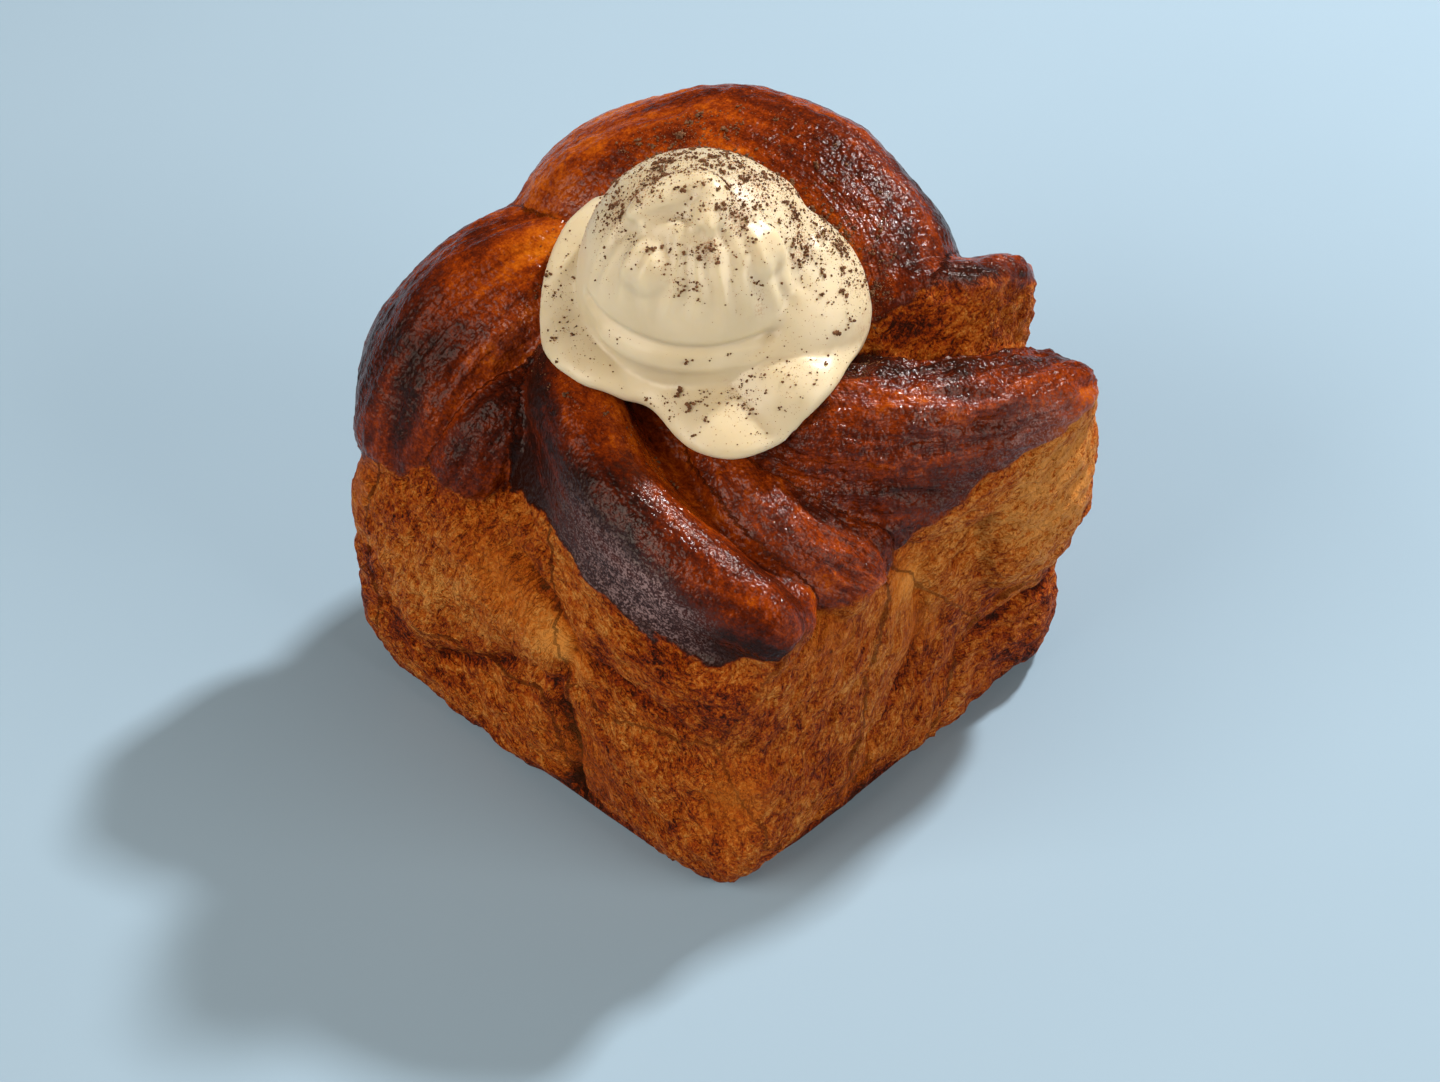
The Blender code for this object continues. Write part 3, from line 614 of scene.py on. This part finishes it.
def make_loaf():
    """The loaf: strands of dough over rounded masses, with its wrinkles, blisters and fibres."""
    pieces = [loft_strand(name, strand) for name, strand in STRANDS.items()]
    pieces += [rounded_mass(name, *mass) for name, mass in MASSES.items()]
    loaf = fuse("loaf_dough", pieces, LOAF_VOXEL, LOAF_SOFTENING)
    stand_flat(loaf)
    points, normals = points_and_normals(loaf.data)

    owner, turns, strands = strand_places(points)
    fibres = crumb_flow(points)
    small = lumps(points, LUMP_LENGTH, 2)
    torn = smooth_step(turns + 14 * small, 2, 18) * (owner == list(STRANDS).index("far_fold"))
    crust = crust_share(points, fibres, torn)
    crease = nearest_crease(points)
    on_side = np.clip((CRUST_EDGE + 3 - points[:, 2]) / 6, 0, 1)
    smooth = np.clip(patch(points, "smooth"), 0, 1)
    blistered, wrinkled = np.array(list(SKIN.values()))[owner, 3:].T
    height = broad_relief(points, small, crease, on_side)
    height += fine_relief(points, strands, fibres, blistered, wrinkled, crust, smooth)
    level = smooth_step(points[:, 2], 0, 1.5)
    moved = points + normals * (height * level)[:, None]
    moved[:, 2] = np.maximum(moved[:, 2], 0)
    set_points(loaf.data, moved)

    # painted sheen: a greyish reflection painted into the crust's colour, on the strands' outer sides
    bloom = patch(points, "bloom") * smooth_step(turns + 10 * small, -18, 0)
    bloom *= 1 - smooth_step(turns, 70, 88)
    store(loaf.data, "crust", crust)
    # how dark the dough is painted, with painted light and shade in it
    store(loaf.data, "bake", bake_and_painted_shade(points, owner, turns, crust, crease, on_side))
    store(loaf.data, "blisters", blistered)
    store(loaf.data, "smooth", smooth)
    store(loaf.data, "gloss", crust * np.clip(0.2 * blistered ** 2 + patch(points, "gloss"), 0, 1))
    # the painted sheen, a greyish reflection painted on the crust
    store(loaf.data, "bloom", crust * bloom)
    store(loaf.data, "strand_flow", strands)
    store(loaf.data, "crumb_flow", fibres)
    return loaf


def stand_flat(thing):
    """Cuts the object off level at the table and closes its underside."""
    shape = bmesh.new()
    shape.from_mesh(thing.data)
    everything = [*shape.verts, *shape.edges, *shape.faces]
    bmesh.ops.bisect_plane(shape, geom=everything, dist=1e-7, plane_no=(0, 0, 1), clear_inner=True)
    bmesh.ops.holes_fill(shape, edges=[edge for edge in shape.edges if edge.is_boundary])
    bmesh.ops.triangulate(shape, faces=[face for face in shape.faces if len(face.verts) > 4])
    bmesh.ops.recalc_face_normals(shape, faces=shape.faces)
    shape.to_mesh(thing.data)
    shape.free()


def hump(angle, centre, width):
    """A smooth hump of height 1 round this angle, all in degrees."""
    apart = (angle - centre + 180) % 360 - 180
    return np.exp(-((apart / width) ** 2))


def puddle_radius(angle):
    """The reach of the cream's lowest layer: a drip at the front, a notch beside it and a lobe."""
    drip = 3.8 * hump(angle, -40, 20) - 5.2 * hump(angle, -75, 18)
    return PUDDLE_RADIUS + drip + 1.2 * hump(angle, -120, 30) + 1.7 * hump(angle, -10, 15)


def facing(across, towards, height):
    """A place on the cream, given across and towards the corner it leans to."""
    turn = radians(CORNER_VIEW)
    return (across * cos(turn) + towards * sin(turn), across * sin(turn) - towards * cos(turn), height)


def resting_height(crust, x, y):
    """The height of the crust round this place, evened out as thick cream would bridge it."""
    lean = SWIRL_LEAN * pi / 180 * (y - x) / 2 ** 0.5
    heights = []
    for k in range(9):
        angle, reach = pi * k / 4, 4.5 * (k > 0)
        start = Vector((x + reach * cos(angle), y + reach * sin(angle), 150)) * MM
        height = crust.ray_cast(start, Vector((0, 0, -1)))[0].z / MM
        heights.append(min(height, PUDDLE_PLACE.z + lean + 3.5))
    highest = sorted(heights)[3:]
    return max(sum(highest) / len(highest), PUDDLE_PLACE.z + lean - 2)


def cream_puddle(crust):
    """The lowest layer: a thick-rimmed pat with an uneven outline, draped over the crust."""
    puddle = rounded_mass("puddle", (0, 0, 0), (1, 1, 1))
    points, _ = points_and_normals(puddle.data)
    reach = puddle_radius(np.degrees(np.arctan2(points[:, 1], points[:, 0])))
    points[:, :2] = points[:, :2] * reach[:, None] + np.array(PUDDLE_PLACE)[:2]
    rest = np.array([resting_height(crust, x, y) for x, y, _ in points])
    points[:, 2] = points[:, 2] * PUDDLE_RIM + rest + 1.8
    set_points(puddle.data, points)
    return puddle


def cream_strand(name, stations):
    """A rope of cream through these stations, with rounded ends."""
    return loft_strand(name, Strand(stations, 0, 0, 0), around=32)


def roll_stations():
    """The low roll of cream round the front of the dome's foot, thinning to its ends."""
    stations = []
    for k in range(10):
        angle = radians(-60 + 18 * k)
        size = ROLL_THICKNESS * (0.5 + 0.5 * sin(pi * k / 9))
        place = facing(ROLL_REACH * sin(angle), ROLL_REACH * cos(angle), 2.6)
        stations.append((*place, size, size))
    return stations


def on_dome(across, towards, sink):
    """A place this far inside the dome's surface, over a point of its plan."""
    share = (across ** 2 + towards ** 2) / DOME_RADIUS ** 2
    return facing(across, towards, DOME_MIDDLE + DOME_RISE * (1 - share) ** 0.5 - sink)


def cream_swirl():
    """The dome, the masses under its far and right sides, the roll at its foot and its hooked tip."""
    pieces = [cream_strand("roll", roll_stations())]
    skirt = (SKIRT_RADIUS, SKIRT_RADIUS, SKIRT_RISE)
    pieces.append(rounded_mass("skirt", facing(3.5, -1.5, 2.5), skirt))
    pieces.append(rounded_mass("slope", facing(10.5, 0.5, 2.5), (18.7, 16, 14)))
    pieces.append(rounded_mass("dome", (0, 0, DOME_MIDDLE), (DOME_RADIUS, DOME_RADIUS, DOME_RISE)))
    hook = ((-8.5, 4), (-5.8, 2.3), (-0.4, 0.3), (2.3, 2.7), (1.1, 6.7))
    pieces.append(cream_strand("hook", [(*on_dome(*place, 0.6), 3.1, 2.8) for place in hook]))
    for place in ((-6.5, 9), (8, 6.5)):
        pieces.append(rounded_mass("fold", on_dome(*place, 5.2), (5.8, 5.8, 5.4)))
    lean = Vector((0, 0, 1)).rotation_difference(Vector(facing(0, sin(radians(SWIRL_LEAN)), 1)))
    for piece in pieces:
        piece.data.transform(lean.to_matrix().to_4x4())
        piece.data.transform(Matrix.Translation(SWIRL_PLACE * MM))
    return pieces


def tree_of(thing):
    """The object's faces, for casting rays at them."""
    return BVHTree.FromObject(thing, bpy.context.evaluated_depsgraph_get())


def dusting(points):
    """How thick the cocoa lies at each point, from 0 to 1."""
    thick = np.full(len(points), 0.07)
    for middle, reach, amount in DUSTED:
        gap = np.linalg.norm(points - np.array(middle), axis=1)
        thick += amount * np.exp(-((gap / reach) ** 2))
    cloud = smooth_step(lumps(points, 4.5, 21) + 0.8 * lumps(points, 1.5, 22), -0.4, 0.7)
    return np.clip(0.85 * thick * (0.3 + 0.7 * cloud), 0, 1)


def flutes(points):
    """The soft upright ridges down the front of the dome."""
    offset = points - np.array(SWIRL_PLACE)
    turn = radians(CORNER_VIEW)
    across = offset[:, 0] * cos(turn) + offset[:, 1] * sin(turn)
    towards = offset[:, 0] * sin(turn) - offset[:, 1] * cos(turn)
    angle = np.arctan2(across, towards) + 0.05 * lumps(points, 6, 14)
    shown = smooth_step(offset[:, 2], 9, 15) * (1 - smooth_step(offset[:, 2], 20, 25))
    shown *= 1 - smooth_step(np.abs(angle), 0.9, 1.3)
    return FLUTE_DEPTH * np.cos(FLUTES * angle) * shown


def make_cream(loaf):
    """The dollop resting on the crust, in soft folds."""
    pieces = [cream_puddle(tree_of(loaf)), *cream_swirl()]
    cream = fuse("cream_dollop", pieces, CREAM_VOXEL, CREAM_SOFTENING)
    points, normals = points_and_normals(cream.data)
    height = SAG_HEIGHT * lumps(points, SAG_LENGTH, 5)
    height += RIPPLE_HEIGHT * lumps(points, RIPPLE_LENGTH, 12) + flutes(points)
    for row, amount, half_width in STROKES:
        path = np.array([tuple(SWIRL_PLACE + Vector(facing(*place))) for place in row])
        gap = distance_to_path(points, curve_through(path, 6))
        height += amount * np.exp(-((gap / half_width) ** 2))
    set_points(cream.data, points + normals * height[:, None])
    store(cream.data, "dusted", dusting(points))
    return cream


def scatter(trees, count, sizes, seed):
    """Random places on what faces up, closer where the cocoa fell thickest, with a size each."""
    rng = Random(seed)
    places = []
    while len(places) < count:
        batch = []
        for _ in range(COCOA_BATCH):
            angle, reach = radians(rng.uniform(0, 360)), COCOA_REACH * rng.random() ** 0.5
            start = PUDDLE_PLACE + Vector((reach * cos(angle), reach * sin(angle), COCOA_FALL))
            hits = [tree.ray_cast(start * MM, Vector((0, 0, -1))) for tree in trees]
            hits = [hit for hit in hits if hit[0] is not None]
            place, normal, _, _ = max(hits, key=lambda hit: hit[0].z)
            if normal.z > 0.3:
                batch.append((place, normal, rng.random(), rng.random()))
        thickness = dusting(np.array([tuple(place / MM) for place, *_ in batch]))
        for (place, normal, draw, size), share in zip(batch, thickness):
            if draw < share and len(places) < count:
                places.append((place, normal, sizes[0] + (sizes[1] - sizes[0]) * size ** 2))
    return places


def clustered(places, seed):
    """Each clump's place as several smaller grains heaped together there."""
    rng = Random(seed)
    heaps = []
    for place, normal, size in places:
        side = normal.orthogonal().normalized()
        other = normal.cross(side)
        for _ in range(2 + int(6 * size)):
            x, y = rng.gauss(0, 0.55), rng.gauss(0, 0.55)
            spot = place + (side * x + other * y + normal * rng.uniform(0, 0.3)) * size * MM
            heaps.append((spot, normal, size * rng.uniform(0.25, 0.5)))
    return heaps


def make_grains(name, places, subdivisions, seed):
    """One mesh of small rough grains at these places."""
    rng = Random(seed)
    shape = bmesh.new()
    if subdivisions:
        bmesh.ops.create_icosphere(shape, subdivisions=subdivisions, radius=1)
    else:
        bmesh.ops.create_cone(shape, segments=4, radius1=1, radius2=0.3, depth=1.2, cap_ends=True)
    corners = [vertex.co.copy() for vertex in shape.verts]
    sides = [[vertex.index for vertex in face.verts] for face in shape.faces]
    shape.free()
    points, faces = [], []
    for place, normal, size in places:
        tilt = Vector((rng.uniform(-1, 1), rng.uniform(-1, 1), 1.2))
        turn = normal.to_track_quat("Z", "Y") @ Vector((0, 0, 1)).rotation_difference(tilt)
        stretch = Vector((rng.uniform(0.9, 1.25), rng.uniform(0.85, 1.1), rng.uniform(0.6, 0.9)))
        start = len(points)
        for corner in corners:
            rough = corner * rng.uniform(0.75, 1.2) * stretch * size * MM
            points.append(place + normal * size * 0.3 * MM + turn @ rough)
        faces += [[start + k for k in side] for side in sides]
    mesh = bpy.data.meshes.new(name)
    mesh.from_pydata(points, [], faces)
    return link(name, mesh)


# Materials

def linear(colour):
    """A screen colour, 0 to 255 a channel, as the renderer's own."""
    shares = (value / 255 for value in colour)
    return (*(s / 12.92 if s < 0.04045 else ((s + 0.055) / 1.055) ** 2.4 for s in shares), 1)


class Web:
    """The nodes of one material, with short ways to add and join them."""

    def __init__(self, name):
        self.material = bpy.data.materials.new(name)
        self.material.use_nodes = True
        self.tree = self.material.node_tree
        self.shader = self.tree.nodes["Principled BSDF"]

    def add(self, kind, inputs, output=0, **settings):
        """A node with these settings, its inputs set or joined, and one of its outputs."""
        node = self.tree.nodes.new(kind)
        for name, value in settings.items():
            setattr(node, name, value)
        for name, value in inputs.items():
            self.plug(node.inputs[name], value)
        return node.outputs[output]

    def plug(self, socket, value):
        """Joins an output to this input, or sets the input to a value."""
        if isinstance(value, bpy.types.NodeSocket):
            self.tree.links.new(value, socket)
        else:
            socket.default_value = value

    def finish(self, **inputs):
        """Sets the shader's inputs, underscores standing for spaces, and returns the material."""
        for name, value in inputs.items():
            self.plug(self.shader.inputs[name.replace("_", " ")], value)
        return self.material

    def number(self, name):
        """What each point of the mesh keeps under this name."""
        return self.add("ShaderNodeAttribute", {}, "Fac", attribute_name=name)

    def vector(self, name):
        """The same, for a vector."""
        return self.add("ShaderNodeAttribute", {}, "Vector", attribute_name=name)

    def object_place(self):
        return self.add("ShaderNodeTexCoord", {}, "Object")

    def scaled(self, vector, scales):
        return self.add("ShaderNodeMapping", {"Vector": vector, "Scale": scales})

    def noise(self, vector, scale, detail, roughness, distortion=0.0):
        inputs = {"Vector": vector, "Scale": scale, "Detail": detail, "Roughness": roughness,
                  "Distortion": distortion}
        return self.add("ShaderNodeTexNoise", inputs)

    def cells(self, vector, scale):
        return self.add("ShaderNodeTexVoronoi", {"Vector": vector, "Scale": scale}, "Distance")

    def math(self, operation, first, second=0.0):
        return self.add("ShaderNodeMath", {0: first, 1: second}, operation=operation)

    def total(self, *parts):
        """The sum of these values, each with the share of it that counts."""
        total = 0.0
        for value, share in parts:
            total = self.math("ADD", total, self.math("MULTIPLY", value, share))
        return total

    def shifted(self, value, *swings, share=1.0):
        """The value moved up and down by these textures about their middles, by these amounts."""
        for texture, amount in swings:
            swing = self.math("MULTIPLY", self.math("SUBTRACT", texture, 0.5), amount)
            value = self.math("ADD", value, self.math("MULTIPLY", swing, share))
        return value

    def fit(self, value, low, high, to_low=0.0, to_high=1.0):
        inputs = {"Value": value, "From Min": low, "From Max": high, "To Min": to_low, "To Max": to_high}
        return self.add("ShaderNodeMapRange", inputs, interpolation_type="SMOOTHSTEP")

    def blend(self, share, first, second):
        return self.add("ShaderNodeMix", {0: share, 2: first, 3: second})

    def blend_colour(self, share, first, second):
        return self.add("ShaderNodeMix", {0: share, 6: first, 7: second}, 2, data_type="RGBA")

    def ramp(self, value, stops):
        """A colour for each height of the value, the stops as (height, screen colour)."""
        node = self.tree.nodes.new("ShaderNodeValToRGB")
        elements = node.color_ramp.elements
        while len(elements) < len(stops):
            elements.new(0.5)
        for element, (height, colour) in zip(elements, stops):
            element.position = height
            element.color = linear(colour)
        self.tree.links.new(value, node.inputs["Fac"])
        return node.outputs["Color"]

    def bump(self, height, distance):
        return self.add("ShaderNodeBump", {"Height": height, "Distance": distance, "Strength": 1.0})


def crust_layer(web, place, mottle, grain):
    """The crust's colour, height and roughness: its shades, with painted light and shade, in bands along
    the strands, and a painted greyish sheen.
    """
    strands, blisters, bloom = web.vector("strand_flow"), web.number("blisters"), web.number("bloom")
    bands = web.noise(web.scaled(strands, BANDS), 1.0, 2, 0.5, 0.4)
    streaks = web.noise(web.scaled(strands, STREAKS), 1.0, 4, 0.6, 0.5)
    leather = web.noise(place, LEATHER, 4, 0.65)
    swings = ((bands, 1.1), (streaks, 0.5), (mottle, 0.7), (leather, 0.7), (grain, 0.5))
    # crust colour from how dark it is painted, painted light and shade included
    baked_and_shaded = web.ramp(web.shifted(web.number("bake"), *swings), CRUST_SHADES)
    # painted sheen: the crust's colour turns greyish where a reflection is painted on
    painted_sheen_colour = web.ramp(web.shifted(leather, (grain, 1.6)), PAINTED_SHEEN_SHADES)
    colour = web.blend_colour(web.math("MULTIPLY", bloom, 0.8), baked_and_shaded, painted_sheen_colour)

    wrinkle = web.noise(web.scaled(strands, WRINKLES), 1.0, 2, 0.5)
    wrinkle_share = web.fit(blisters, 0.2, 1.0, 0.2, 0.6)
    bubble = web.fit(web.cells(place, BUBBLES), 0.0, 0.5, 1.0, 0.0)
    blister = web.math("MULTIPLY", bubble, blisters)
    skin = web.noise(place, FINE_SKIN, 1, 0.4)
    height = web.total((wrinkle, wrinkle_share), (skin, 0.3), (leather, 0.1), (blister, 0.22))
    roughness = web.total((web.fit(mottle, 0.35, 0.65, 0.16, 0.26), 1.0), (bloom, 0.18))
    return colour, height, roughness


def crumb_layer(web, place, mottle, grain):
    """The crumb's colour, height and roughness: pulled strings and pores, with cracks between."""
    fibres, smooth = web.vector("crumb_flow"), web.number("smooth")
    coarse = web.math("SUBTRACT", 1.0, web.math("MULTIPLY", smooth, 0.75))
    strings = web.noise(web.scaled(fibres, STRINGS), 1.0, 5, 0.66, 0.8)
    pores = web.noise(place, PORES, 4, 0.7)
    crack = web.noise(web.scaled(fibres, CRACKS), 1.0, 3, 0.6, 1.5)
    crack = web.fit(web.math("ABSOLUTE", web.math("SUBTRACT", crack, 0.5)), 0.0, 0.025, 1.0, 0.0)
    # crumb colour from how dark it is painted, painted light and shade included, such as the lighter upper
    # right side
    toast_and_shade = web.shifted(web.number("bake"), (mottle, 1.1))
    toast_and_shade = web.shifted(toast_and_shade, (strings, -1.7), (pores, -1.0), (grain, -1.0), share=coarse)
    toast_and_shade = web.total((toast_and_shade, 1.0), (web.math("MULTIPLY", crack, coarse), 0.28))
    torn = web.ramp(toast_and_shade, CRUMB_SHADES)
    colour = web.blend_colour(web.math("MULTIPLY", smooth, 0.5), torn, linear(MEMBRANE_COLOUR))
    height = web.total((strings, 1.6), (pores, 1.4), (grain, 0.4), (crack, -0.4))
    return colour, web.math("MULTIPLY", height, coarse), web.fit(strings, 0.3, 0.7, 0.66, 0.42)


def dough_material():
    """Browned, egg-washed crust that turns at a ragged line into stringy golden crumb."""
    web = Web("baked_dough")
    place, crust = web.object_place(), web.number("crust")
    mottle, grain = web.noise(place, MOTTLE, 4, 0.6), web.noise(place, GRAIN, 2, 0.6)
    crust_colour, crust_height, gloss = crust_layer(web, place, mottle, grain)
    crumb_colour, crumb_height, matt = crumb_layer(web, place, mottle, grain)
    sparkle = web.total((crust_height, 1.0), (web.noise(place, SPARKS, 1, 0.5), 0.3))
    return web.finish(
        Base_Color=web.blend_colour(crust, crumb_colour, crust_colour),
        Roughness=web.blend(crust, matt, gloss),
        Specular_IOR_Level=0.09,
        Coat_Weight=web.math("MULTIPLY", web.number("gloss"), 0.7),
        Coat_Roughness=0.12,
        Coat_Normal=web.bump(sparkle, MM),
        Normal=web.bump(web.blend(crust, crumb_height, crust_height), MM))


def cream_material():
    """Thick vanilla cream with a soft wet shine, tinted where the finest cocoa settled."""
    web = Web("vanilla_cream")
    place = web.object_place()
    cloud = web.noise(place, 120, 3, 0.5)
    speck = web.noise(place, 2600, 2, 0.7)
    stain = web.math("MULTIPLY", web.fit(web.number("dusted"), 0.15, 0.8), web.fit(speck, 0.46, 0.66))
    pale = web.ramp(cloud, CREAM_SHADES)
    return web.finish(
        Base_Color=web.blend_colour(web.math("MULTIPLY", stain, 0.7), pale, linear(COCOA_STAIN)),
        Roughness=web.fit(cloud, 0.3, 0.7, 0.36, 0.46),
        Subsurface_Weight=0.5,
        Subsurface_Radius=(1.0, 0.8, 0.45),
        Subsurface_Scale=4 * MM,
        Coat_Weight=0.08,
        Coat_Roughness=0.2,
        Normal=web.bump(web.noise(place, 420, 3, 0.5), 0.05 * MM))


def cocoa_material(name, shades):
    """Dry cocoa, mottled from grain to grain."""
    web = Web(name)
    place = web.object_place()
    shade = web.noise(place, 1400, 2, 0.6)
    return web.finish(
        Base_Color=web.ramp(shade, shades),
        Roughness=web.fit(shade, 0.3, 0.7, 0.95, 0.8),
        Normal=web.bump(web.noise(place, 6000, 2, 0.6), 0.08 * MM))


def floor_material():
    """Plain pale floor, matt."""
    web = Web("pale_floor")
    tone = web.noise(web.object_place(), 6, 3, 0.5)
    return web.finish(
        Base_Color=web.ramp(tone, FLOOR_SHADES),
        Roughness=0.9,
        Specular_IOR_Level=0.2)


# Camera and lights

def add_camera():
    """The photograph's camera: high over the front corner, with a long lens."""
    azimuth, elevation = radians(VIEW_AZIMUTH), radians(VIEW_ELEVATION)
    back = Vector((sin(azimuth) * cos(elevation), -cos(azimuth) * cos(elevation), sin(elevation)))
    lens = bpy.data.cameras.new("camera")
    lens.lens = VIEW_LENS
    lens.sensor_width = SENSOR_WIDTH
    lens.clip_start = 0.01
    camera = bpy.data.objects.new("camera", lens)
    camera.location = (VIEW_TARGET - PLAIT_MIDDLE + back * VIEW_DISTANCE) * MM
    camera.rotation_euler = (-back).to_track_quat("-Z", "Y").to_euler()
    bpy.context.scene.collection.objects.link(camera)
    bpy.context.scene.camera = camera


def add_light(name, light):
    """A square soft lamp, aimed at the loaf."""
    turn, rise = radians(light.azimuth), radians(light.elevation)
    back = Vector((sin(turn) * cos(rise), -cos(turn) * cos(rise), sin(rise)))
    lamp = bpy.data.lights.new(name, "AREA")
    lamp.size = light.size
    lamp.energy = light.power
    lamp.color = light.colour
    stand = bpy.data.objects.new(name, lamp)
    stand.location = back * light.distance + Vector((0, 0, LIT_HEIGHT))
    stand.rotation_euler = (-back).to_track_quat("-Z", "Y").to_euler()
    bpy.context.scene.collection.objects.link(stand)


def add_world():
    """Even warm light from all round."""
    world = bpy.data.worlds.new("studio")
    world.use_nodes = True
    sky = world.node_tree.nodes["Background"]
    sky.inputs["Color"].default_value = SKY_COLOUR
    sky.inputs["Strength"].default_value = SKY_STRENGTH
    bpy.context.scene.world = world


def add_floor():
    """A wide level sheet under the loaf."""
    shape = bmesh.new()
    bmesh.ops.create_grid(shape, x_segments=8, y_segments=8, size=FLOOR_HALF)
    mesh = bpy.data.meshes.new("floor")
    shape.to_mesh(mesh)
    shape.free()
    floor = link("floor", mesh)
    floor.location.z = -FLOOR_DROP
    return floor


def dress(thing, material):
    """Moves the piece from the plait's place to the frame's, and gives it its finish."""
    thing.data.transform(Matrix.Translation(-PLAIT_MIDDLE * MM))
    thing.data.materials.clear()
    thing.data.materials.append(material)
    thing.data.shade_smooth()
    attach(thing, "root")


loaf = make_loaf()
cream = make_cream(loaf)
trees = [tree_of(cream), tree_of(loaf)]
heaps = clustered(scatter(trees, CLUMPS, CLUMP_SIZE, COCOA_SEED), COCOA_SEED)
clumps = make_grains("cocoa_clumps", heaps, 2, 1)
crumbs = make_grains("cocoa_crumbs", scatter(trees, CRUMBS, CRUMB_SIZE, COCOA_SEED + 1), 1, 2)
dust = make_grains("cocoa_dust", scatter(trees, DUST, DUST_SIZE, COCOA_SEED + 2), 0, 3)

dress(loaf, dough_material())
dress(cream, cream_material())
dark_cocoa = cocoa_material("dark_cocoa", DARK_COCOA)
fine_cocoa = cocoa_material("fine_cocoa", FINE_COCOA)
dress(clumps, dark_cocoa)
dress(crumbs, dark_cocoa)
dress(dust, fine_cocoa)
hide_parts("loaf")
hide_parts("cream")

floor = add_floor()
floor.data.materials.append(floor_material())
add_camera()
add_world()
for light_name, light in LIGHTS.items():
    add_light(light_name, light)
bpy.context.scene.view_settings.view_transform = "Standard"
